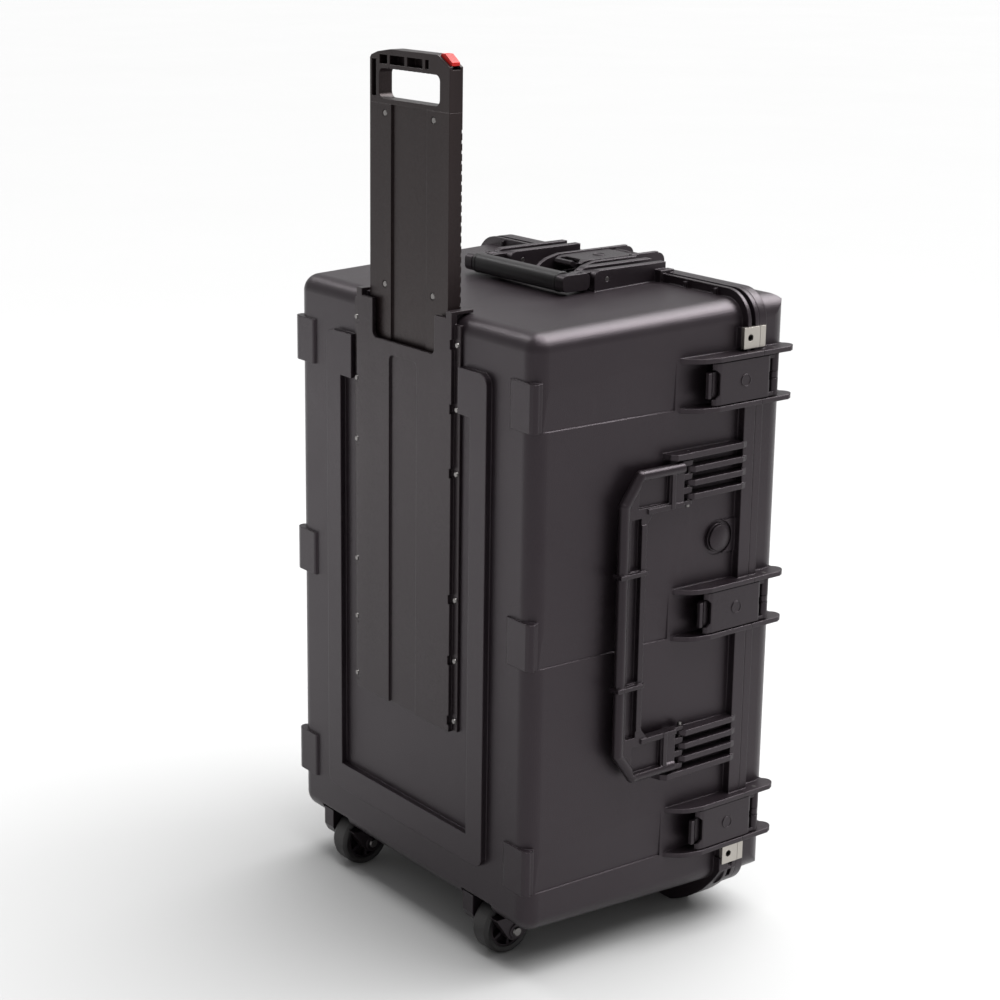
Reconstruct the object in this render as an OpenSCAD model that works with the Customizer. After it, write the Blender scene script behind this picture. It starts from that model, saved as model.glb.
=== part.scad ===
// Wheeled hard equipment case, standing on its wheels and rim feet.
// +Z up. The trolley side faces -Y, the latch side +X, the hinge side -X, the lid +Y.
// Origin: centre of the whole outline, on the ground. Millimetres.

/* [Case] */
// Width of the base at its flat back
face_w = 490; // [300:10:700]
// Height of the base at its flat back
face_h = 740; // [400:10:900]
// Depth of the base, from its flat back to the lid joint
base_d = 328; // [150:1:500]
// Depth of the lid
lid_d = 60; // [40:1:120]
// Outward growth of the walls per millimetre of depth
draft = 0.03; // [0:0.005:0.06]
// Wall thickness
wall = 5; // [3:0.5:8]
// Radius of the outer edges
edge_r = 22; // [10:1:40]
// Height of the body above the ground
foot_h = 61; // [40:1:90]

/* [Rim] */
// How far the rim stands out from the walls
rim_out = 10; // [6:1:20]
// Thickness of the base rim
rim_t = 18; // [10:1:30]
// Thickness of the lid rim
lid_rim_t = 12; // [8:1:20]
// Corner radius of the rim
rim_r = 38; // [20:1:60]

/* [Back frame] */
// Height of the raised frame
frame_t = 8; // [3:1:12]
// Outer width of the raised frame
frame_w = 332; // [250:2:420]
// Inner width of the raised frame
frame_in = 270; // [200:2:360]

/* [Trolley] */
// Width of the sliding panel
panel_w = 160; // [100:2:220]
// Thickness of the sliding panel
panel_t = 19; // [12:1:30]
// Length of travel of the trolley
travel = 300; // [100:5:400]
// Width of the cover over the slide
tray_w = 196; // [120:2:240]

/* [Latches] */
// Width of a latch plate
latch_w = 51; // [30:1:80]
// Distance of the outer latches from the middle
latch_pitch = 286; // [150:1:330]
// Thickness of the fins beside a latch
fin_t = 6; // [4:1:12]

/* [Side handle] */
// Half of the handle length
bail_h = 197; // [80:1:240]
// Distance from the pivot to the outer edge of the grip
bail_reach = 112; // [60:1:140]

/* [End handle] */
// Width of the end handle
end_w = 196; // [120:2:260]
// Distance of its pivot in front of the lid joint
end_pivot = 100; // [60:1:150]

/* [Wheels] */
// Wheel radius
wheel_r = 36; // [25:1:60]
// Wheel width
wheel_w = 30; // [20:1:50]
// Distance of the wheels from the middle
wheel_x = 155; // [100:1:220]

/* [Hidden] */

$fn = 64;
// Working overlap for cuts
eps = 1;
black = [0.09, 0.09, 0.10];
dark = [0.13, 0.13, 0.14];
rubber = [0.05, 0.05, 0.05];
steel = [0.75, 0.75, 0.74];
red = [0.86, 0.10, 0.05];

// Half sizes at the back and at the lid joint
hw = face_w / 2;
grow = draft * base_d;
open_hw = hw + grow;
rim_hw = open_hw + rim_out;
mid_z = face_h / 2;
open_hh = mid_z + grow;
rim_hh = open_hh + rim_out;
corner_r = edge_r + 4;
lid_edge_r = 24;
gap = 0.4;
lid_y = base_d + gap;
lid_back = base_d + lid_d;
// Depth of the middle of the whole outline
depth_c = (lid_back - frame_t) / 2;

// Slide recess behind the cover
recess_hw = panel_w / 2 + 6;
recess_d = panel_t + 3;
recess_z0 = 226;
cover_z0 = 220;
cover_z1 = 736;
cover_t = 5;
panel_z0 = recess_z0 + 4 + travel;
panel_z1 = face_h + 234;
head_z1 = panel_z1 + 65;
screw_rows = [235, 313, 391, 549, 628, 706];
cover_screw_x = tray_w / 2 + 6;
panel_screw_x = 49;
panel_screw_z = [755, 963];
rod_x = 68;
rod_y = 10;

// Latches: outward axis x, pivot on the lid
latch_z = [mid_z + latch_pitch, mid_z, mid_z - latch_pitch];
fin_in = 27;
fin_out = fin_in + fin_t;
fin_up = 10.5;
latch_axis_y = base_d + 25;
latch_axis_u = 2;
latch_y0 = base_d - 79;
trigger_y = base_d - 53;
trigger_u = 3.4;
ear_end = base_d + 56;

// Side handle: pivot, knuckles and base ribs
bail_px = open_hw + 5;
bail_py = 226;
bail_x0 = 257;
bail_x1 = 271;
bail_in = 142;
tube_r = 7;
tube_y = bail_py - bail_reach + tube_r + 1;
tube_z = bail_h - 41;
teeth = [[190.3, 197], [173.3, 180.7], [156.3, 163.7], [142, 146.7]];
ribs = [[199.5, 207], [182, 189], [165, 172], [148, 155]];

// End handle
end_py = base_d - end_pivot;
end_pz = face_h + 20;
grip_y = -56;

// Hinges
hinge_x = -(rim_hw + 4);
hinge_y = base_d + gap / 2;
hinge_r = 6.5;
hinge_pin_r = 2.5;
hinge_z = [mid_z + 200, mid_z - 200];
knuckle = 18;

// Padlock plates
lock_z = [mid_z + 335, mid_z - 335];
lock_hole_y = 15.5;
lock_hole_r = 4.3;

// Purge valve
valve_y = 283;
valve_z = 458;
valve_x = hw + draft * valve_y;

// Wheels
wheel_y = 35;
wheel_z = wheel_r - foot_h;
axle_r = 4;
well_x0 = 39;
well_x1 = 21;
well_top = 17;
cheek_in = 16.4;
housing_x0 = 54;
housing_x1 = 52;
housing_screw_x = [-46, 40];
housing_screw_y = [54, 76];

// Every piece is drawn from the flat back (y = 0) and the body's bottom (z = 0).
module at_body() {
  translate([0, -depth_c, foot_h]) children();
}

module rrect(w, h, r) {
  square([w - 2 * r, h], center = true);
  square([w, h - 2 * r], center = true);
  for (sx = [-1, 1], sz = [-1, 1])
    translate([sx * (w / 2 - r), sz * (h / 2 - r)]) circle(r);
}

// Extrudes an x-z outline from depth y0 to depth y1
module slab(y0, y1) {
  translate([0, y1, 0]) rotate([90, 0, 0]) linear_extrude(y1 - y0) children();
}

// Extrudes an x-y outline from height z0 to height z1
module rise(z0, z1) {
  translate([0, 0, z0]) linear_extrude(z1 - z0) children();
}

// Box from its lowest to its highest corner
module span(a, b) {
  translate(a) cube(b - a);
}

module both_sides() {
  children();
  mirror([1, 0, 0]) children();
}

module both_ends() {
  children();
  translate([0, 0, 2 * mid_z]) mirror([0, 0, 1]) children();
}

// Puts a latch piece, drawn about u = x, y and w = z, on the side or on the top end
module latch_spot(i) {
  if (i < 3) translate([rim_hw, 0, latch_z[i]]) children();
  else translate([0, 0, mid_z + rim_hh]) rotate([0, -90, 0]) children();
}

// ---------------------------------------------------------------- base

module base_outer() {
  hull() {
    for (sx = [-1, 1], sz = [-1, 1]) {
      translate([sx * (hw - edge_r), edge_r, mid_z + sz * (mid_z - edge_r)])
        sphere(edge_r, $fn = 48);
      translate([sx * (open_hw - corner_r), base_d, mid_z + sz * (open_hh - corner_r)])
        rotate([90, 0, 0]) cylinder(h = 0.5, r = corner_r, $fn = 48);
    }
  }
}

module base_inner() {
  hull() {
    for (sx = [-1, 1], sz = [-1, 1]) {
      translate([sx * (hw - edge_r), edge_r, mid_z + sz * (mid_z - edge_r)])
        sphere(edge_r - wall, $fn = 40);
      translate([sx * (open_hw - corner_r), base_d + 2, mid_z + sz * (open_hh - corner_r)])
        rotate([90, 0, 0]) cylinder(h = 0.5, r = corner_r - wall, $fn = 40);
    }
  }
}

module rim_outline() {
  translate([0, mid_z]) rrect(2 * rim_hw, 2 * rim_hh, rim_r);
}

// Rounded foot of the rim at one bottom corner
module foot_outline(inset = 0) {
  intersection() {
    translate([112, 107]) circle(180 - inset, $fn = 160);
    translate([72 + inset, inset - foot_h]) square([rim_hw - 72 - 2 * inset, foot_h + 30]);
  }
}

module base_rim() {
  slab(base_d - rim_t, base_d) rim_outline();
  both_sides() {
    slab(base_d - 28, base_d - 24) foot_outline();
    slab(base_d - 28, base_d) difference() {
      foot_outline();
      foot_outline(5);
    }
    for (x = [78 : 26 : 234])
      slab(base_d - 26, base_d - 3) intersection() {
        translate([x, -foot_h]) square([4, foot_h]);
        foot_outline();
      }
  }
}

// Groove in the rim face, open outward, near the corners and across the top
module rim_grooves() {
  slab(base_d - 13, base_d - 6) difference() {
    rim_outline();
    translate([0, mid_z]) rrect(2 * rim_hw - 14, 2 * rim_hh - 14, rim_r - 7);
    translate([-rim_hw - 5, mid_z - 315]) square([2 * rim_hw + 10, 630]);
    translate([-112, 0]) square([224, 2 * rim_hh]);
    translate([-rim_hw, -80]) square([2 * rim_hw, 80]);
  }
}

module rim_gussets() {
  for (x = [-208, -155, 155, 208])
    rise(mid_z + open_hh - 4, mid_z + rim_hh - 3)
      translate([x - 2, base_d - 22]) square([4, 14]);
}

module frame_outline() {
  difference() {
    translate([0, 372]) rrect(frame_w, 620, 14);
    translate([-frame_in / 2, 98]) square([frame_in, 528]);
    translate([-111, 600]) square([222, 100]);
  }
}

// Corner pad that squares up the rounded back edge
module corner_pad() {
  rise(-29, 29) polygon([[hw - 44, 2], [hw - 42, -2.4], [hw - 39, -3.2], [hw - 6, -3.2],
    [hw - 1, -1.6], [hw + 1.8, 2.4], [hw + 2.4, 8], [hw, 11], [hw - 24, 24]]);
}

module fin_profile() {
  polygon([[-14, base_d - 114], [-11, base_d - 112], [-4, base_d - 105], [2, base_d - 98],
    [6, base_d - 90], [8.4, base_d - 80], [fin_up, base_d - 70], [fin_up, base_d],
    [-14, base_d]]);
}

// The end latch swings past one of its fins as the lid opens, so that fin stands further off
module base_fins(i) {
  far = i == 3 ? 10 : 0;
  rise(fin_in, fin_out) fin_profile();
  rise(-fin_out - far, -fin_in - far) fin_profile();
}

// Guides between the handle knuckles
module handle_ribs() {
  for (k = [0 : 3]) {
    r = ribs[k];
    y0 = k == 0 ? 191 : 219.5;
    rise(r[0], r[1]) polygon([[hw + 4, y0], [bail_px + 2, y0 + 4], [bail_px + 8, y0 + 10],
      [bail_px + 8, base_d - 20], [rim_hw, base_d - 12], [hw + 4, base_d - 12]]);
  }
}

module handle_rib_sets() {
  translate([0, 0, mid_z]) {
    handle_ribs();
    mirror([0, 0, 1]) handle_ribs();
  }
}

module end_brackets() {
  top = mid_z + open_hh - 4;
  both_sides() {
    for (x = [[91, 101], [64, 74.5]])
      difference() {
        span([x[0], end_py - 20, top - 12], [x[1], base_d - 4, end_pz + 12]);
        translate([x[0] - 1, end_py - 20, end_pz + 12]) rotate([90, 0, 90])
          linear_extrude(14) difference() {
            translate([-1, -10]) square([11, 11]);
            translate([10, -10]) circle(10);
          }
      }
    span([101, base_d - 22, top], [112, base_d, mid_z + rim_hh + 4]);
  }
}

module slide_liner() {
  span([-recess_hw - wall, 0, recess_z0 - wall], [recess_hw + wall, recess_d + wall, face_h + 1]);
}

module at_wheels() {
  for (s = [-1, 1]) translate([s * wheel_x, 0, 0]) children();
}

module wheel_pad() {
  span([-housing_x0 - 2, 20, -3], [housing_x1 + 2, 84, wall]);
  span([-well_x0 - wall, 2, 1], [well_x1 + wall, 84, well_top + wall]);
}

module hinge_knuckles(z, first, count) {
  for (k = [0 : count - 1]) {
    z0 = z - 45 + (first + 2 * k) * knuckle + gap / 2;
    translate([hinge_x, hinge_y, z0]) cylinder(h = knuckle - gap, r = hinge_r);
  }
}

module base_knuckles() {
  for (z = hinge_z) {
    hinge_knuckles(z, 0, 3);
    for (k = [0 : 2]) {
      z0 = z - 45 + 2 * k * knuckle + gap / 2;
      span([hinge_x - 1, base_d - rim_t, z0], [-rim_hw + 4, base_d - 3, z0 + knuckle - gap]);
    }
  }
}

module valve_hole(r) {
  translate([valve_x - 20, valve_y, valve_z]) rotate([0, 90, 0]) cylinder(h = 40, r = r);
}

module base_cuts() {
  // slide recess, open at the top
  span([-recess_hw, -frame_t - eps, recess_z0], [recess_hw, recess_d, face_h + 20]);
  // wheel wells
  at_wheels() span([-well_x0, -eps, -20], [well_x1, 77, well_top]);
  rim_grooves();
  // shallow bands between the corner pads and the latches
  for (z = latch_z)
    rotate([0, 0, -atan(draft)]) translate([0, 0, z]) slab(12, 216)
      polygon([[hw - 0.5, 29], [hw + 4, 29], [hw + 4, -29], [hw - 2.2, -29]]);
  // valve
  valve_hole(8);
  translate([valve_x - 0.8, valve_y, valve_z]) rotate([0, 90, 0]) cylinder(h = 6, r = 22);
  // hinge pins and the lid's knuckles
  for (z = hinge_z) {
    translate([hinge_x, hinge_y, z - 46]) cylinder(h = 92, r = hinge_pin_r + 0.05);
    for (k = [0 : 1])
      translate([hinge_x, hinge_y, z - 45 + (1 + 2 * k) * knuckle])
        cylinder(h = knuckle, r = hinge_r + 0.8);
  }
  // handle pins
  for (s = [-1, 1])
    translate([bail_px, bail_py, mid_z + s * 172 - 40]) cylinder(h = 80, r = 2.55);
  both_sides() translate([60, end_py, end_pz]) rotate([0, 90, 0]) cylinder(h = 45, r = 3.05);
  // cover screws
  both_sides() for (z = screw_rows)
    translate([cover_screw_x, 3.6, z]) rotate([90, 0, 0]) cylinder(h = 6, r = 1.75, $fn = 24);
  // padlock plates
  for (z = lock_z) {
    span([rim_hw - 3, base_d - 26, z - 13], [rim_hw + eps, base_d + eps, z + 13]);
    translate([rim_hw - 16, base_d - lock_hole_y, z]) rotate([0, 90, 0])
      cylinder(h = 20, r = lock_hole_r + 1);
  }
  // housing screws
  at_wheels() for (x = housing_screw_x, y = housing_screw_y)
    translate([x, y, -4]) cylinder(h = 6, r = 1.75, $fn = 24);
}

module base_shell() {
  color(black) at_body() difference() {
    union() {
      difference() {
        union() {
          base_outer();
          base_rim();
        }
        base_inner();
      }
      intersection() {
        base_outer();
        union() {
          at_wheels() wheel_pad();
          span([valve_x - 9, valve_y - 24, valve_z - 24], [valve_x, valve_y + 24, valve_z + 24]);
        }
      }
      // raised bracket between the valve and the rim
      span([valve_x - 3, valve_y, valve_z - 21], [valve_x + 2.6, base_d - 10, valve_z + 21]);
      slide_liner();
      at_wheels() span([-housing_x0, 44, -3], [housing_x1, 84, 0]);
      rim_gussets();
      for (z = lock_z)
        span([hw, base_d - 26, z - 12], [rim_hw - 3, base_d - rim_t + eps, z + 12]);
      slab(-frame_t, 1) frame_outline();
      both_sides() for (z = latch_z) translate([0, 0, z]) corner_pad();
      for (i = [0 : 3]) latch_spot(i) base_fins(i);
      handle_rib_sets();
      end_brackets();
      base_knuckles();
    }
    base_cuts();
  }
}

// ---------------------------------------------------------------- lid

// Lid body, inset all round, with rounded back edges
module lid_block(inset, y0) {
  w = 2 * (open_hw - inset);
  h = 2 * (open_hh - inset);
  r = lid_edge_r - inset;
  intersection() {
    slab(y0, lid_back - inset) translate([0, mid_z]) rrect(w, h, corner_r - inset);
    rise(-50, 2 * mid_z + 50) translate([0, lid_back - 60]) rrect(w, 120 - 2 * inset, r);
    rotate([90, 0, 90]) translate([0, 0, -300]) linear_extrude(600)
      translate([lid_back - 60, mid_z]) rrect(120 - 2 * inset, h, r);
  }
}

module seal_ring(grow_by, y0, y1) {
  w = 2 * open_hw + 4;
  h = 2 * open_hh + 4;
  slab(y0, y1) translate([0, mid_z]) difference() {
    rrect(w + 4 + 2 * grow_by, h + 4 + 2 * grow_by, corner_r + 3);
    rrect(w - 4 - 2 * grow_by, h - 4 - 2 * grow_by, corner_r);
  }
}

// Ears that carry a latch on the lid
module lid_ears() {
  for (s = [-1, 1])
    rise(s > 0 ? fin_in : -fin_out, s > 0 ? fin_out : -fin_in) {
      translate([-16, lid_y]) square([16 + fin_up, ear_end - 11 - lid_y]);
      translate([-2, ear_end - 11]) circle(11);
      translate([-16, ear_end - 11]) square([14, 6]);
    }
  rise(-4.2, 4.2) {
    translate([-16, lid_y + 6]) square([12, 22]);
    translate([latch_axis_u, latch_axis_y]) circle(5.4);
    translate([-10, latch_axis_y - 5.4]) square([12, 10.8]);
  }
}

module lid_knuckles() {
  for (z = hinge_z) {
    hinge_knuckles(z, 1, 2);
    for (k = [0 : 1]) {
      z0 = z - 45 + (1 + 2 * k) * knuckle + gap / 2;
      span([hinge_x - 1, lid_y + 3, z0], [-rim_hw + 4, lid_y + 10, z0 + knuckle - gap]);
    }
  }
}

module lid_cuts() {
  // shallow panel in the outer face
  slab(lid_back - 1.6, lid_back + eps) translate([0, mid_z]) rrect(376, 626, 30);
  seal_ring(0.05, lid_y - 1, lid_y + 3.6);
  for (i = [0 : 3]) latch_spot(i)
    translate([latch_axis_u, latch_axis_y, -40]) cylinder(h = 80, r = 2.55);
  for (z = hinge_z) {
    translate([hinge_x, hinge_y, z - 46]) cylinder(h = 92, r = hinge_pin_r + 0.06);
    for (k = [0 : 2])
      translate([hinge_x, hinge_y, z - 45 + 2 * k * knuckle - gap])
        cylinder(h = knuckle + 2 * gap, r = hinge_r + 0.8);
  }
  for (z = lock_z) span([rim_hw - 3, lid_y - eps, z - 13], [rim_hw + eps, lid_y + 9, z + 13]);
}

module lid_shell() {
  color(black) at_body() difference() {
    union() {
      difference() {
        union() {
          lid_block(0, lid_y + 6);
          slab(lid_y, lid_y + lid_rim_t) rim_outline();
        }
        lid_block(wall, lid_y - 1);
      }
      for (i = [0 : 3]) latch_spot(i) lid_ears();
      lid_knuckles();
    }
    lid_cuts();
  }
}

module lid_gasket() {
  color(rubber) at_body() seal_ring(0, lid_y + 0.1, lid_y + 3.6);
}

module hinge_pin(k) {
  color(steel) at_body() translate([hinge_x, hinge_y, hinge_z[k] - 45])
    cylinder(h = 90, r = hinge_pin_r);
}

// Steel padlock plate with one round hole
module padlock_plate_base(k) {
  color(steel) at_body() translate([rim_hw, base_d, lock_z[k]]) difference() {
    span([-2.9, -25.9, -12.9], [2.3, -0.1, 12.9]);
    translate([-10, -lock_hole_y, 0]) rotate([0, 90, 0]) cylinder(h = 20, r = lock_hole_r);
  }
}

module padlock_plate_lid(k) {
  color(steel) at_body() translate([rim_hw, lid_y, lock_z[k]])
    span([-2.9, 0.1, -12.9], [2.3, 8.9, 12.9]);
}

// ---------------------------------------------------------------- latches

module latch_plate(i) {
  hl = latch_w / 2;
  y1 = latch_axis_y;
  color(dark) at_body() latch_spot(i) difference() {
    union() {
      // skin
      translate([0, 0, -hl]) linear_extrude(latch_w)
        polygon([[5.6, latch_y0 + 2], [8.2, latch_y0 + 5], [9, latch_y0 + 12], [9, y1 - 15],
          [8.2, y1 - 12], [5.4, y1 - 11], [5.4, latch_y0]]);
      // cheeks
      for (s = [-1, 1])
        translate([0, 0, s > 0 ? hl - 4.5 : -hl]) linear_extrude(4.5)
          polygon([[1.4, latch_y0 + 12], [5.6, latch_y0 + 6], [7, latch_y0 + 12], [7, y1],
            [1.4, y1]]);
      // raised round boss
      translate([8, base_d - 27, 0]) rotate([0, 90, 0]) difference() {
        cylinder(h = 1.9, r = 8);
        translate([0, 0, 1.3]) cylinder(h = 2, r = 6.6);
      }
      // pivot knuckles
      for (s = [-1, 1])
        translate([latch_axis_u, y1, s > 0 ? 4.8 : -hl]) cylinder(h = hl - 4.8, r = 6);
    }
    // finger notch
    translate([-2, 0, 0]) rotate([90, 0, 90]) linear_extrude(14)
      polygon([[latch_y0 - 1, -18], [latch_y0 - 1, 18], [latch_y0 + 4, 18],
        [latch_y0 + 10, 13], [latch_y0 + 10, -13], [latch_y0 + 4, -18]]);
    // centre rib of the lid
    translate([-8, y1 - 13, -4.8]) cube([20, 26, 9.6]);
    translate([latch_axis_u, y1, -hl - 1]) cylinder(h = latch_w + 2, r = 2.58);
    translate([trigger_u, trigger_y, -24]) cylinder(h = 48, r = 1.56);
  }
}

module latch_trigger(i) {
  color(dark) at_body() latch_spot(i) union() {
    translate([0, 0, -20]) linear_extrude(40)
      polygon([[1.5, trigger_y - 13], [1.5, trigger_y + 10], [3.5, trigger_y + 10],
        [3.5, trigger_y - 13]]);
    translate([0, 0, -15.5]) linear_extrude(31)
      polygon([[1.5, trigger_y - 13], [3.5, trigger_y - 13], [4.2, trigger_y - 24],
        [8.4, trigger_y - 30], [8, trigger_y - 34], [4, trigger_y - 35],
        [0.4, trigger_y - 31], [0.6, trigger_y - 24]]);
    translate([trigger_u, trigger_y, -23.4]) cylinder(h = 46.8, r = 1.5);
  }
}

module latch_pin(i) {
  color(steel) at_body() latch_spot(i)
    translate([latch_axis_u, latch_axis_y, -fin_out]) cylinder(h = 2 * fin_out, r = 2.5);
}

// ---------------------------------------------------------------- side handle

// Outline of the bail's web in y and z
module bail_outline() {
  py = bail_py;
  z1 = bail_h - tube_r;
  difference() {
    polygon([[py - 13, z1], [py - 80, z1], [tube_y, tube_z], [tube_y, -tube_z], [py - 80, -z1],
      [py - 13, -z1]]);
    polygon([[py, bail_in], [py - 60, bail_in], [py - 71, bail_in - 14],
      [py - 71, 14 - bail_in], [py - 60, -bail_in], [py, -bail_in]]);
  }
}

// Round bar from one point to another
module bar(a, b, r) {
  d = b - a;
  l = norm(d);
  translate(a) rotate([0, acos(d[2] / l), atan2(d[1], d[0])]) cylinder(h = l, r = r);
}

// Tube along the outer edge of the bail
module bail_tube() {
  x = bail_x1 - tube_r;
  z1 = bail_h - tube_r - 0.5;
  bar([x, tube_y, -tube_z], [x, tube_y, tube_z], tube_r);
  for (s = [-1, 1]) {
    bar([x, tube_y, s * tube_z], [x, bail_py - 80, s * z1], tube_r);
    bar([x, bail_py - 80, s * z1], [x, bail_py - 14, s * z1], tube_r);
    translate([x, tube_y, s * tube_z]) sphere(tube_r + 0.2);
    translate([x, bail_py - 80, s * z1]) sphere(tube_r + 0.2);
  }
}

module side_handle_bail() {
  py = bail_py;
  color(dark) at_body() translate([0, 0, mid_z]) difference() {
    union() {
      translate([bail_x1 - 4, 0, 0]) rotate([0, -90, 0])
        linear_extrude(bail_x1 - bail_x0 - 5) mirror([1, -1, 0]) bail_outline();
      bail_tube();
      // finger rail
      span([bail_x0, py - 79, -130], [bail_x1 - 2.5, py - 71, 130]);
      // collars
      for (z = [-71, 71])
        span([bail_x0 - 0.6, py - bail_reach - 1, z - 2.5], [bail_x1 + 1.5, py - 71, z + 2.5]);
      // raised borders of the arms
      for (s = [-1, 1]) {
        span([bail_x0, py - 70, s > 0 ? bail_in : -bail_in - 6],
          [bail_x1 - 2, py - 13, s > 0 ? bail_in + 6 : -bail_in]);
        span([bail_x0, py - 34, s > 0 ? bail_in : 8 - bail_h],
          [bail_x1 - 1.5, py - 28, s > 0 ? bail_h - 8 : -bail_in]);
      }
      // knuckles
      for (t = teeth, s = [-1, 1]) {
        z0 = s > 0 ? t[0] : -t[1];
        translate([bail_px, py, z0]) cylinder(h = t[1] - t[0], r = 5);
        span([bail_px - 2.4, py - 16, z0], [bail_px + 5, py, z0 + t[1] - t[0]]);
      }
    }
    // hollow side of the grip
    for (z = [[75, 138], [-66, 66], [-138, -75]])
      span([bail_x0 + 4, py - 95, z[0]], [bail_x1 + 2, py - 79, z[1]]);
    // serrated finger side
    for (z = [-126 : 9 : 126])
      translate([bail_x0 - 1, py - 70.4, z]) rotate([0, 90, 0])
        cylinder(h = 20, r = 1.6, $fn = 16);
    // pockets in the arms
    for (s = [-1, 1])
      span([bail_x0 + 5, py - 84, s > 0 ? bail_in + 8 : 12 - bail_h],
        [bail_x1 + 1, py - 36, s > 0 ? bail_h - 12 : -bail_in - 8]);
    translate([bail_px, py, -220]) cylinder(h = 440, r = 2.58);
  }
}

module side_handle_pin(s) {
  color(steel) at_body() translate([bail_px, bail_py, mid_z + s * 172 - 34])
    cylinder(h = 68, r = 2.5);
}

// ---------------------------------------------------------------- end handle

module end_handle_bail() {
  hx = end_w / 2;
  color(dark) at_body() translate([0, end_py, end_pz]) difference() {
    union() {
      both_sides() {
        // arm, stepped in where it passes the bracket
        translate([hx - 14, -46.5, -0.5]) rotate([90, 0, 90])
          linear_extrude(14) rrect(43, 21, 7);
        span([76, -40, -9], [89.5, 0, 9]);
        translate([76, 0, 0]) rotate([0, 90, 0]) cylinder(h = 13.5, r = 9);
      }
      // core of the grip
      translate([-hx + 10, grip_y, 0]) rotate([0, 90, 0]) cylinder(h = end_w - 20, r = 7);
    }
    both_sides() translate([60, 0, 0]) rotate([0, 90, 0]) cylinder(h = 45, r = 3.08);
    both_sides() span([hx - 10, -42, 6], [hx - 4, -32, 14]);
  }
}

module end_handle_grip() {
  hx = end_w / 2 - 14.5;
  color(rubber) at_body() translate([0, end_py + grip_y, end_pz]) difference() {
    union() {
      translate([-hx, 0, -0.5]) rotate([90, 0, 90])
        linear_extrude(2 * hx) rrect(23, 24, 9);
      both_sides() translate([hx - 5, 0, -0.5]) rotate([90, 0, 90])
        linear_extrude(3) rrect(24, 25, 9.5);
    }
    translate([-hx - 1, 0, 0]) rotate([0, 90, 0]) cylinder(h = 2 * hx + 2, r = 7.05);
    // hollow finger side
    span([-hx + 12, 7, -8], [hx - 12, 20, 7]);
  }
}

module end_handle_pin(s) {
  color(steel) at_body() translate([s > 0 ? 64 : -101, end_py, end_pz])
    rotate([0, 90, 0]) cylinder(h = 37, r = 3);
}

// ---------------------------------------------------------------- trolley

// Cover over the slide: plate with a finger cut-out, a shallow channel and two flanges
module trolley_cover() {
  hx = tray_w / 2;
  color(dark) at_body() difference() {
    union() {
      slab(-frame_t, cover_t - frame_t)
        translate([-hx, cover_z0]) square([tray_w, cover_z1 - cover_z0]);
      both_sides() {
        span([recess_hw + 1, cover_t - frame_t - 1, cover_z0], [hx, 0, cover_z1]);
        span([hx - 1, -3, cover_z0 + 2], [hx + 11, 0, cover_z1 - 6]);
        // lip over the top edge of the case
        span([recess_hw + 1, -frame_t, cover_z1 - 12], [hx, -0.4, face_h + 5]);
        span([recess_hw + 1, -1, face_h + 1.2], [hx, 24, face_h + 5]);
      }
    }
    slab(-20, 0) {
      translate([-64, 696]) square([128, 60]);
      translate([-56, 688]) square([112, 20]);
      for (s = [-1, 1]) translate([s * 56, 696]) circle(8);
    }
    // shallow channel with a rounded top
    slab(-frame_t - 1, 2.5 - frame_t) {
      translate([-28.5, cover_z0 - 1]) square([57, 445]);
      translate([-20.5, cover_z0 + 440]) square([41, 12]);
      for (s = [-1, 1]) translate([s * 20.5, cover_z0 + 444]) circle(8);
    }
    both_sides() for (z = screw_rows) {
      translate([cover_screw_x, 1, z]) rotate([90, 0, 0]) cylinder(h = 8, r = 2, $fn = 24);
      span([hx - 3, -frame_t - 1, z - 6], [hx + 1, -3, z + 6]);
    }
  }
}

module trolley_cover_screws() {
  color(steel) at_body() for (s = [-1, 1], z = screw_rows)
    translate([s * cover_screw_x, 0, z]) rotate([90, 0, 0]) {
      translate([0, 0, -3.4]) cylinder(h = 7, r = 1.7, $fn = 24);
      translate([0, 0, 3.05]) cylinder(h = 2, r1 = 3.6, r2 = 2.8, $fn = 24);
    }
}

// Sliding panel: hollow pressing with a wide shallow channel and a ribbed back
module trolley_panel() {
  hx = panel_w / 2;
  h = panel_z1 - panel_z0;
  color(dark) at_body() difference() {
    span([-hx, 0, panel_z0], [hx, panel_t, panel_z1]);
    span([-36, -eps, panel_z0 - eps], [36, 2.5, panel_z1 + eps]);
    for (s = [-1, 1])
      span([s > 0 ? 39 : 3 - hx, 3, panel_z0 + 4], [s > 0 ? hx - 3 : -39, panel_t + eps, panel_z1 - 6]);
    span([-36, 5.5, panel_z0 + 4], [36, panel_t + eps, panel_z1 - 6]);
    for (z = panel_screw_z, s = [-1, 1])
      translate([s * panel_screw_x, 4, z]) rotate([90, 0, 0]) {
        cylinder(h = 8, r = 2.05, $fn = 24);
        translate([0, 0, 2.4]) cylinder(h = 4, r = 4.5, $fn = 32);
      }
    // notches along the back edges
    for (z = [panel_z0 + 12 : 12 : panel_z1 - 14], s = [-1, 1])
      span([s * hx - 1.2, panel_t - 2, z], [s * hx + 1.2, panel_t + 1, z + 4]);
    // lock rod passage and bolt slot
    translate([rod_x, rod_y, panel_z1 - 10]) cylinder(h = 20, r = 3.5);
    span([hx - 12, rod_y - 4.4, panel_z0 - 1], [hx + 1, rod_y + 4.4, panel_z0 + 17]);
  }
}

module head_outline() {
  polygon([[-80, panel_z1], [-80, head_z1 - 12], [-77, head_z1 - 8.5], [-64, head_z1 - 4],
    [-38, head_z1], [56, head_z1], [80, head_z1 - 13], [80, panel_z1]]);
}

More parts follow.
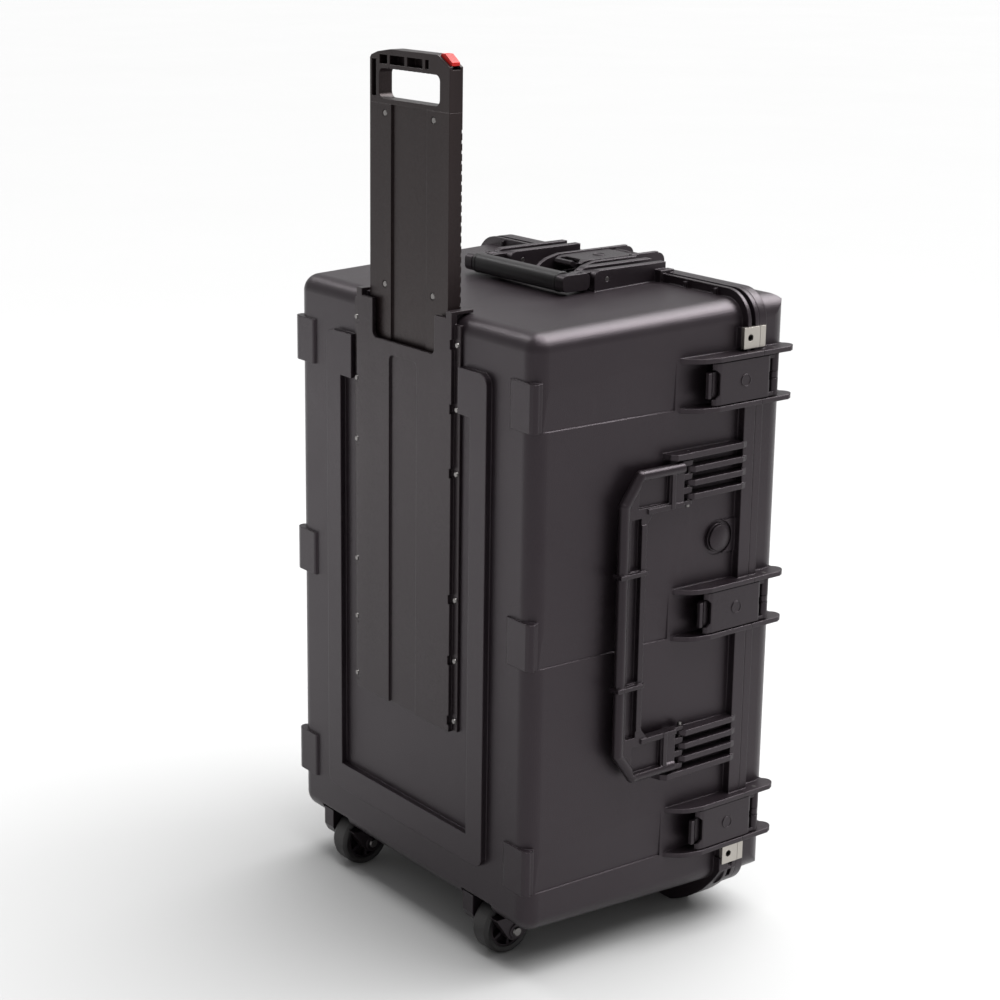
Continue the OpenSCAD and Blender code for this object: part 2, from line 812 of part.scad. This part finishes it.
module trolley_grip() {
  z0 = panel_z1;
  color(dark) at_body() difference() {
    translate([0, 0, 0.05]) slab(0, panel_t) head_outline();
    // hand opening
    slab(-1, panel_t + 1) {
      translate([-61, z0 + 14]) square([122, 21]);
      translate([-53, z0 + 6]) square([106, 36]);
      for (s = [-1, 1]) {
        translate([s * 53, z0 + 14]) circle(8);
        translate([s * 53, z0 + 34]) circle(8);
      }
    }
    // weight-saving pockets round the opening
    for (x = [[-60, -44], [-39, -9], [-4, 27], [32, 39]])
      span([x[0], -1, z0 + 47], [x[1], 12, z0 + 58]);
    span([-76, -1, z0 + 8], [-67, 12, z0 + 52]);
    // finger serrations
    for (x = [-40 : 9 : 42])
      translate([x, -1, z0 + 42]) rotate([-90, 0, 0]) cylinder(h = 22, r = 1.6, $fn = 16);
    // button well, rod passage and spring seat
    slab(3.5, panel_t - 3.5)
      polygon([[57.5, z0 + 49], [57.5, z0 + 70], [84, z0 + 70], [84, z0 + 49]]);
    translate([rod_x, rod_y, z0 - 1]) cylinder(h = 60, r = 3.5);
    translate([rod_x, rod_y, z0 + 33]) cylinder(h = 18, r = 5.2);
  }
}

module trolley_panel_screws() {
  color(steel) at_body() for (z = panel_screw_z, s = [-1, 1])
    translate([s * panel_screw_x, 0, z]) rotate([90, 0, 0]) {
      translate([0, 0, -4]) cylinder(h = 4, r = 2, $fn = 24);
      difference() {
        translate([0, 0, -1.5]) cylinder(h = 1.6, r1 = 4.4, r2 = 3.2, $fn = 32);
        translate([0, 0, -0.9]) cylinder(h = 2, r = 1.6, $fn = 6);
      }
    }
}

module trolley_button() {
  z0 = panel_z1;
  color(red) at_body() difference() {
    slab(3.9, panel_t - 3.9)
      polygon([[57.9, z0 + 53.5], [57.9, z0 + 66.5], [66, z0 + 66.5], [79.2, z0 + 57.5],
        [79.2, z0 + 53.5]]);
    translate([rod_x, rod_y, z0 + 53]) cylinder(h = 5, r = 3.05);
  }
}

module trolley_button_spring() {
  z0 = panel_z1 + 33;
  color(steel) at_body() translate([rod_x, rod_y, z0])
    for (k = [0 : 5]) translate([0, 0, 0.9 + k * 3.75])
      rotate_extrude($fn = 32) translate([4.4, 0]) circle(0.55, $fn = 12);
}

module trolley_lock_rod() {
  color(steel) at_body() translate([rod_x, rod_y, panel_z0 + 20])
    cylinder(h = panel_z1 + 57.6 - panel_z0 - 20, r = 3);
}

module trolley_lock_bolt() {
  hx = panel_w / 2;
  color(steel) at_body()
    span([hx - 7, rod_y - 4, panel_z0 + 2], [hx + 4, rod_y + 4, panel_z0 + 14]);
}

// ---------------------------------------------------------------- wheels

module at_axle(s) {
  at_body() translate([s * wheel_x, wheel_y, wheel_z]) rotate([0, 90, 0]) children();
}

module wheel_hub(s) {
  w = wheel_w - 4;
  color(dark) at_axle(s) difference() {
    union() {
      difference() {
        cylinder(h = w, r = wheel_r - 9, center = true);
        for (t = [-1, 1]) translate([0, 0, t * (w / 2)]) cylinder(h = w - 8, r = wheel_r - 12, center = true);
      }
      cylinder(h = wheel_w + 1, r = 9, center = true);
      for (a = [0 : 60 : 300])
        rotate([0, 0, a]) translate([6, -1.8, -w / 2]) cube([wheel_r - 17, 3.6, w]);
    }
    cylinder(h = wheel_w + 4, r = axle_r + 0.08, center = true);
  }
}

module wheel_tyre(s) {
  r1 = wheel_r - 9 + 0.05;
  color(rubber) at_axle(s) rotate_extrude($fn = 96)
    polygon([[r1, -wheel_w / 2 + 1.5], [wheel_r - 4, -wheel_w / 2], [wheel_r - 1.5, -wheel_w / 2 + 1.6],
      [wheel_r, -wheel_w / 2 + 5], [wheel_r, wheel_w / 2 - 5], [wheel_r - 1.5, wheel_w / 2 - 1.6],
      [wheel_r - 4, wheel_w / 2], [r1, wheel_w / 2 - 1.5]]);
}

module wheel_axle(s) {
  color(steel) at_axle(s) {
    translate([0, 0, -36]) cylinder(h = 66, r = axle_r);
    translate([0, 0, 30.5]) cylinder(h = 2.4, r1 = axle_r + 2, r2 = axle_r + 1);
    translate([0, 0, 29]) cylinder(h = 2, r = axle_r);
  }
}

// Housing screwed under the base: top plate, a wide fender and a forked cheek
module wheel_housing(s) {
  top = -3.1;
  color(dark) at_body() translate([s * wheel_x, 0, 0]) difference() {
    union() {
      span([-housing_x0, 46, top - 6], [housing_x1, 84, top]);
      intersection() {
        span([-37, 2, -60], [-cheek_in, 84, 14]);
        translate([-40, 0, 0]) rotate([90, 0, 90]) linear_extrude(40)
          polygon([[2, 14], [2, -11], [7, -21], [16, -28], [30, -32], [46, -32], [62, -25],
            [76, -13], [84, top], [76, top], [76, 14]]);
      }
      translate([cheek_in, 0, 0]) rotate([90, 0, 90]) linear_extrude(29 - cheek_in)
        polygon([[4, top], [10, -12], [24, -33], [30, -36.5], [41, -36.5], [50, -31], [72, -14],
          [84, top]]);
      translate([cheek_in, wheel_y, wheel_z]) rotate([0, 90, 0])
        cylinder(h = 30.4 - cheek_in, r = 10);
    }
    // gap for the wheel
    span([-cheek_in, -10, -70], [cheek_in, 78.5, 30]);
    // rounded lower edge of the fender
    translate([-37, 0, 0]) rotate([0, 45, 0]) span([-40, -10, -60], [-18, 100, 0]);
    translate([-50, wheel_y, wheel_z]) rotate([0, 90, 0]) cylinder(h = 100, r = axle_r + 0.05);
    for (x = housing_screw_x, y = housing_screw_y) {
      translate([x, y, -30]) cylinder(h = 40, r = 2, $fn = 24);
      translate([x, y, -40]) cylinder(h = 40 + top - 4, r = 4.4, $fn = 24);
    }
  }
}

module wheel_screws(s) {
  color(steel) at_body() translate([s * wheel_x, 0, 0])
    for (x = housing_screw_x, y = housing_screw_y) translate([x, y, 0]) {
      translate([0, 0, -8]) cylinder(h = 9.6, r = 1.7, $fn = 24);
      translate([0, 0, -9.6]) cylinder(h = 2.4, r = 3.8, $fn = 24);
    }
}

// ---------------------------------------------------------------- purge valve

module at_valve() {
  at_body() translate([valve_x, valve_y, valve_z]) rotate([0, 90, 0]) children();
}

module valve_body() {
  color(dark) at_valve() difference() {
    union() {
      translate([0, 0, -0.7]) cylinder(h = 3.7, r = 18.5);
      translate([0, 0, -16]) cylinder(h = 16, r = 7.9);
    }
    translate([0, 0, -17]) cylinder(h = 30, r = 3.1);
    translate([0, 0, -0.8]) difference() {
      cylinder(h = 1.1, r = 12.1);
      translate([0, 0, -1]) cylinder(h = 3, r = 9.9);
    }
  }
}

module valve_knob() {
  dome = 42;
  color(dark) at_valve() union() {
    intersection() {
      translate([0, 0, 3.4]) cylinder(h = 8, r = 16.5);
      translate([0, 0, 9 - dome]) sphere(dome, $fn = 128);
    }
    translate([0, 0, -15]) cylinder(h = 19, r = 3);
  }
}

module valve_seal() {
  color(rubber) at_valve() translate([0, 0, -0.7]) difference() {
    cylinder(h = 0.9, r = 12);
    translate([0, 0, -1]) cylinder(h = 3, r = 10);
  }
}

module valve_nut() {
  color(dark) at_valve() translate([0, 0, -15]) difference() {
    cylinder(h = 5.8, r = 14, $fn = 6);
    translate([0, 0, -1]) cylinder(h = 10, r = 7.95);
  }
}

base_shell();
lid_shell();
lid_gasket();
hinge_pin(0);  // hinge_pin_upper
hinge_pin(1);  // hinge_pin_lower
padlock_plate_base(0);  // padlock_plate_base_upper
padlock_plate_base(1);  // padlock_plate_base_lower
padlock_plate_lid(0);  // padlock_plate_lid_upper
padlock_plate_lid(1);  // padlock_plate_lid_lower
latch_plate(0);  // latch_1_plate
latch_trigger(0);  // latch_1_trigger
latch_pin(0);  // latch_1_pin
latch_plate(1);  // latch_2_plate
latch_trigger(1);  // latch_2_trigger
latch_pin(1);  // latch_2_pin
latch_plate(2);  // latch_3_plate
latch_trigger(2);  // latch_3_trigger
latch_pin(2);  // latch_3_pin
latch_plate(3);  // latch_4_plate
latch_trigger(3);  // latch_4_trigger
latch_pin(3);  // latch_4_pin
side_handle_bail();
side_handle_pin(1);  // side_handle_pin_upper
side_handle_pin(-1);  // side_handle_pin_lower
end_handle_bail();
end_handle_grip();
end_handle_pin(-1);  // end_handle_pin_left
end_handle_pin(1);  // end_handle_pin_right
trolley_cover();
trolley_cover_screws();
trolley_panel();
trolley_grip();
trolley_panel_screws();
trolley_button();
trolley_button_spring();
trolley_lock_rod();
trolley_lock_bolt();
wheel_hub(-1);  // wheel_left_hub
wheel_tyre(-1);  // wheel_left_tyre
wheel_axle(-1);  // wheel_left_axle
wheel_housing(-1);  // wheel_left_housing
wheel_screws(-1);  // wheel_left_screws
wheel_hub(1);  // wheel_right_hub
wheel_tyre(1);  // wheel_right_tyre
wheel_axle(1);  // wheel_right_axle
wheel_housing(1);  // wheel_right_housing
wheel_screws(1);  // wheel_right_screws
valve_body();
valve_knob();
valve_seal();
valve_nut();
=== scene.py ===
"""Wheeled hard equipment case: looks, floor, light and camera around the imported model."""
import math

import bpy
from mathutils import Matrix, Vector


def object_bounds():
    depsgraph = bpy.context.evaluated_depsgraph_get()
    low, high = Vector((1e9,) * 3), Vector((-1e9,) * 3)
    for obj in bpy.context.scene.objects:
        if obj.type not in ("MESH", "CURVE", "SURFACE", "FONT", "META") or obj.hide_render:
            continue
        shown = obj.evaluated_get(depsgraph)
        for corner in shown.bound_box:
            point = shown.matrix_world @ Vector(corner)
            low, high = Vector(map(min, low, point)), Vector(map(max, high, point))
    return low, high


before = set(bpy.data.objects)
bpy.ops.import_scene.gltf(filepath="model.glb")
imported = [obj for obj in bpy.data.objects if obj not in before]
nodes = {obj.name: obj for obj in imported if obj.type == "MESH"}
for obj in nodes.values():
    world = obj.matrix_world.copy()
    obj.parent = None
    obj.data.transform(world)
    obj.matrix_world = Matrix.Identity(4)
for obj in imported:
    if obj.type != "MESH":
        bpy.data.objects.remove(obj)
cad_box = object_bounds()

MM = 0.001


# ------------------------------------------------------------------ node helpers

def new_material(name):
    mat = bpy.data.materials.new(name)
    mat.use_nodes = True
    tree = mat.node_tree
    return mat, tree, tree.nodes["Principled BSDF"]


def object_coords(tree, scale=(1, 1, 1)):
    coords = tree.nodes.new("ShaderNodeTexCoord")
    if scale == (1, 1, 1):
        return coords.outputs["Object"]
    mapping = tree.nodes.new("ShaderNodeMapping")
    mapping.inputs["Scale"].default_value = scale
    tree.links.new(coords.outputs["Object"], mapping.inputs["Vector"])
    return mapping.outputs["Vector"]


def noise(tree, coords, scale, detail=4.0, roughness=0.55):
    node = tree.nodes.new("ShaderNodeTexNoise")
    node.inputs["Scale"].default_value = scale
    node.inputs["Detail"].default_value = detail
    node.inputs["Roughness"].default_value = roughness
    tree.links.new(coords, node.inputs["Vector"])
    return node.outputs["Fac"]


def grain_cells(tree, coords, scale):
    node = tree.nodes.new("ShaderNodeTexVoronoi")
    node.feature = "SMOOTH_F1"
    node.inputs["Scale"].default_value = scale
    node.inputs["Smoothness"].default_value = 0.6
    tree.links.new(coords, node.inputs["Vector"])
    return node.outputs["Distance"]


def remap(tree, value, low_in, high_in, low_out, high_out):
    node = tree.nodes.new("ShaderNodeMapRange")
    node.inputs["From Min"].default_value = low_in
    node.inputs["From Max"].default_value = high_in
    node.inputs["To Min"].default_value = low_out
    node.inputs["To Max"].default_value = high_out
    tree.links.new(value, node.inputs["Value"])
    return node.outputs["Result"]


def mix_colours(tree, factor, colour_a, colour_b):
    node = tree.nodes.new("ShaderNodeMix")
    node.data_type = "RGBA"
    node.inputs[6].default_value = (*colour_a, 1)
    node.inputs[7].default_value = (*colour_b, 1)
    tree.links.new(factor, node.inputs[0])
    return node.outputs[2]


def add_values(tree, a, b):
    node = tree.nodes.new("ShaderNodeMath")
    node.operation = "ADD"
    tree.links.new(a, node.inputs[0])
    tree.links.new(b, node.inputs[1])
    return node.outputs[0]


def bump(tree, height, strength, distance, normal):
    node = tree.nodes.new("ShaderNodeBump")
    node.inputs["Strength"].default_value = strength
    node.inputs["Distance"].default_value = distance
    tree.links.new(height, node.inputs["Height"])
    tree.links.new(normal, node.inputs["Normal"])
    return node.outputs["Normal"]


def soft_edges(tree, radius):
    node = tree.nodes.new("ShaderNodeBevel")
    node.samples = 4
    node.inputs["Radius"].default_value = radius
    return node.outputs["Normal"]


# ------------------------------------------------------------------ materials

def plastic(name, colour, worn, rough, grain, grain_depth, edge, specular,
            tint=(1.0, 0.86, 0.95), streaks=0.0):
    """Moulded black plastic: spark-eroded grain, uneven sheen, faint dust, scuffs and streaks."""
    mat, tree, shader = new_material(name)
    coords = object_coords(tree)
    cells = grain_cells(tree, coords, grain)
    fine = noise(tree, coords, grain * 2.2, 2.0)
    cloud = noise(tree, coords, 7.0, 5.0, 0.6)
    scuff = noise(tree, object_coords(tree, (90, 90, 12)), 1.0, 6.0, 0.7)
    bands = noise(tree, object_coords(tree, (26, 26, 0.7)), 1.0, 3.0, 0.55)
    tone = add_values(tree, remap(tree, cloud, 0.3, 0.75, 0.0, 0.55 - 0.5 * streaks),
                      remap(tree, scuff, 0.56, 0.8, 0.0, 0.45))
    tone = add_values(tree, tone, remap(tree, bands, 0.35, 0.68, 0.0, streaks))
    tree.links.new(mix_colours(tree, tone, colour, worn), shader.inputs["Base Color"])
    sheen = add_values(tree, remap(tree, cloud, 0.25, 0.8, rough - 0.05, rough + 0.07),
                       remap(tree, fine, 0.3, 0.7, -0.03, 0.03))
    tree.links.new(sheen, shader.inputs["Roughness"])
    shader.inputs["Specular IOR Level"].default_value = specular
    shader.inputs["Specular Tint"].default_value = (*tint, 1)
    height = add_values(tree, remap(tree, cells, 0.0, 0.6, 0.0, 1.0),
                        remap(tree, fine, 0.3, 0.7, 0.0, 0.5))
    normal = bump(tree, height, 0.55, grain_depth, soft_edges(tree, edge))
    tree.links.new(normal, shader.inputs["Normal"])
    return mat


def soft_rubber(name, colour, worn, rough, edge=1.0 * MM):
    """Dull rubber with a fine matt texture and dusty patches."""
    mat, tree, shader = new_material(name)
    coords = object_coords(tree)
    cloud = noise(tree, coords, 22.0, 6.0, 0.65)
    fine = noise(tree, coords, 2600.0, 2.0)
    tree.links.new(mix_colours(tree, remap(tree, cloud, 0.35, 0.75, 0, 1), colour, worn),
                   shader.inputs["Base Color"])
    tree.links.new(remap(tree, cloud, 0.3, 0.8, rough - 0.06, rough + 0.08),
                   shader.inputs["Roughness"])
    shader.inputs["Specular IOR Level"].default_value = 0.35
    normal = bump(tree, fine, 0.5, 0.0002, soft_edges(tree, edge))
    tree.links.new(normal, shader.inputs["Normal"])
    return mat


def brushed_metal(name, colour, stretch, rough, edge=0.5 * MM):
    """Metal with fine lines along one direction and slightly uneven polish."""
    mat, tree, shader = new_material(name)
    lines = noise(tree, object_coords(tree, stretch), 1.0, 5.0, 0.7)
    cloud = noise(tree, object_coords(tree), 60.0, 4.0, 0.6)
    darker = tuple(0.72 * c for c in colour)
    tree.links.new(mix_colours(tree, remap(tree, lines, 0.3, 0.75, 0, 1), colour, darker),
                   shader.inputs["Base Color"])
    gloss = add_values(tree, remap(tree, lines, 0.3, 0.7, rough - 0.05, rough + 0.08),
                       remap(tree, cloud, 0.3, 0.7, -0.03, 0.05))
    tree.links.new(gloss, shader.inputs["Roughness"])
    shader.inputs["Metallic"].default_value = 1.0
    normal = bump(tree, lines, 0.25, 0.0001, soft_edges(tree, edge))
    tree.links.new(normal, shader.inputs["Normal"])
    return mat


def glossy_red(name):
    """Smooth moulded red with a slight orange-peel surface."""
    mat, tree, shader = new_material(name)
    coords = object_coords(tree)
    peel = noise(tree, coords, 420.0, 3.0)
    cloud = noise(tree, coords, 60.0, 4.0)
    tree.links.new(mix_colours(tree, remap(tree, cloud, 0.3, 0.7, 0, 1),
                               (0.42, 0.006, 0.003), (0.33, 0.004, 0.002)),
                   shader.inputs["Base Color"])
    tree.links.new(remap(tree, cloud, 0.3, 0.7, 0.36, 0.46), shader.inputs["Roughness"])
    shader.inputs["Specular IOR Level"].default_value = 0.3
    normal = bump(tree, peel, 0.2, 0.0003, soft_edges(tree, 0.8 * MM))
    tree.links.new(normal, shader.inputs["Normal"])
    return mat


def painted_floor(name):
    mat, tree, shader = new_material(name)
    coords = object_coords(tree)
    cloud = noise(tree, coords, 0.8, 3.0)
    tree.links.new(mix_colours(tree, cloud, (0.37, 0.37, 0.37), (0.355, 0.355, 0.355)),
                   shader.inputs["Base Color"])
    tree.links.new(remap(tree, cloud, 0, 1, 0.6, 0.75), shader.inputs["Roughness"])
    shader.inputs["Specular IOR Level"].default_value = 0.1
    return mat


SHELL = plastic("shell_plastic", (0.0064, 0.0043, 0.0056), (0.0135, 0.0107, 0.0125), 0.31,
                900.0, 0.00018, 2.0 * MM, 0.40)
FRAME = plastic("frame_plastic", (0.0052, 0.0036, 0.0046), (0.0110, 0.0087, 0.0100), 0.30,
                1100.0, 0.00014, 1.6 * MM, 0.36)
LATCH = plastic("latch_plastic", (0.0050, 0.0036, 0.0045), (0.0115, 0.0092, 0.0105), 0.29,
                1300.0, 0.00012, 1.2 * MM, 0.38)
COVER = plastic("cover_plastic", (0.0050, 0.0035, 0.0042), (0.0140, 0.0110, 0.0125), 0.28,
                1200.0, 0.00012, 1.4 * MM, 0.33, (1.0, 0.84, 0.90), 0.4)
SLIDE = plastic("slide_plastic", (0.0060, 0.0038, 0.0040), (0.0150, 0.0110, 0.0112), 0.27,
                1300.0, 0.00010, 1.2 * MM, 0.26, (1.0, 0.82, 0.82), 0.4)
GRIP = soft_rubber("grip_rubber", (0.0052, 0.0042, 0.0048), (0.0105, 0.0090, 0.0098), 0.42)
TREAD = soft_rubber("tread_urethane", (0.009, 0.008, 0.0085), (0.026, 0.024, 0.0235), 0.46)
STEEL = brushed_metal("black_zinc", (0.22, 0.21, 0.205), (300, 300, 9000), 0.30)
PLATE = brushed_metal("plate_steel", (0.50, 0.47, 0.43), (9000, 9000, 500), 0.36)
ALLOY = brushed_metal("drawn_alloy", (0.70, 0.70, 0.71), (7000, 7000, 200), 0.30)
RED = glossy_red("red_plastic")
FLOOR = painted_floor("floor_paint")


def material_for(name):
    if name in ("base_shell", "lid_shell"):
        return SHELL
    if name in ("lid_gasket", "end_handle_grip", "valve_seal"):
        return GRIP
    if name.endswith("tyre"):
        return TREAD
    if name.startswith("padlock"):
        return PLATE
    if name == "trolley_lock_rod":
        return ALLOY
    if name == "trolley_button":
        return RED
    if name in ("trolley_panel", "trolley_grip"):
        return SLIDE
    if name == "trolley_cover":
        return COVER
    if name.endswith(("_pin", "_upper", "_lower", "_left", "_right", "screws", "axle",
                      "spring", "bolt")):
        return STEEL
    if name.startswith("latch"):
        return LATCH
    return FRAME


for name, obj in nodes.items():
    obj.data.materials.clear()
    obj.data.materials.append(material_for(name))


# ------------------------------------------------------------------ floor, light, camera

def make_floor():
    size = 60.0
    mesh = bpy.data.meshes.new("floor")
    corners = [(-size, -size, 0), (size, -size, 0), (size, size, 0), (-size, size, 0)]
    mesh.from_pydata(corners, [], [(0, 1, 2, 3)])
    floor = bpy.data.objects.new("floor", mesh)
    floor.data.materials.append(FLOOR)
    bpy.context.scene.collection.objects.link(floor)
    floor.location.z = cad_box[0][2] - 0.0005


def aim(obj, target):
    direction = Vector(target) - obj.location
    obj.rotation_euler = direction.to_track_quat("-Z", "Y").to_euler()


def area_light(name, place, target, size, power):
    data = bpy.data.lights.new(name, "AREA")
    data.shape = "RECTANGLE"
    data.size, data.size_y = size
    data.energy = power
    light = bpy.data.objects.new(name, data)
    light.location = place
    bpy.context.scene.collection.objects.link(light)
    aim(light, target)


def make_light():
    """Even sky, one very wide overhead sun for the pale floor, and three boxes for highlights."""
    world = bpy.data.worlds.new("studio")
    world.use_nodes = True
    background = world.node_tree.nodes["Background"]
    background.inputs["Color"].default_value = (1, 1, 1, 1)
    background.inputs["Strength"].default_value = 0.50
    bpy.context.scene.world = world
    sun = bpy.data.objects.new("sky_panel", bpy.data.lights.new("sky_panel", "SUN"))
    sun.data.energy = 7.4
    sun.data.angle = math.radians(70)
    sun.location = (0.4, 1.4, 4.0)
    bpy.context.scene.collection.objects.link(sun)
    aim(sun, (0, 0, 0))
    area_light("edge_box", (0.8, 1.85, 2.8), (0.25, 0, 0.8), (1.2, 1.2), 40)
    area_light("left_box", (-2.0, -0.7, 2.7), (0, -0.1, 0.8), (0.5, 0.5), 16)
    area_light("low_left_box", (-1.5, -1.3, 0.2), (0, -0.2, 0.2), (0.9, 0.3), 0.8)


def make_camera():
    """Stands where the photographer stood: 54 degrees round from the trolley side."""
    azimuth, elevation, roll = map(math.radians, (53.955, 14.670, 0.247))
    forward = Vector((-math.sin(azimuth) * math.cos(elevation),
                      math.cos(azimuth) * math.cos(elevation), -math.sin(elevation)))
    right = forward.cross(Vector((0, 0, 1))).normalized()
    up = right.cross(forward)
    turned_right = right * math.cos(roll) + up * math.sin(roll)
    turned_up = up * math.cos(roll) - right * math.sin(roll)
    data = bpy.data.cameras.new("camera")
    data.sensor_width = 36.0
    data.lens = 79.0
    data.shift_x = 0.0846
    data.shift_y = -0.0629
    camera = bpy.data.objects.new("camera", data)
    camera.matrix_world = Matrix((
        (turned_right.x, turned_up.x, -forward.x, 2.1077),
        (turned_right.y, turned_up.y, -forward.y, -1.7122),
        (turned_right.z, turned_up.z, -forward.z, 1.3139),
        (0, 0, 0, 1)))
    bpy.context.scene.collection.objects.link(camera)
    bpy.context.scene.camera = camera


make_floor()
make_light()
make_camera()
bpy.context.scene.view_settings.view_transform = "Standard"
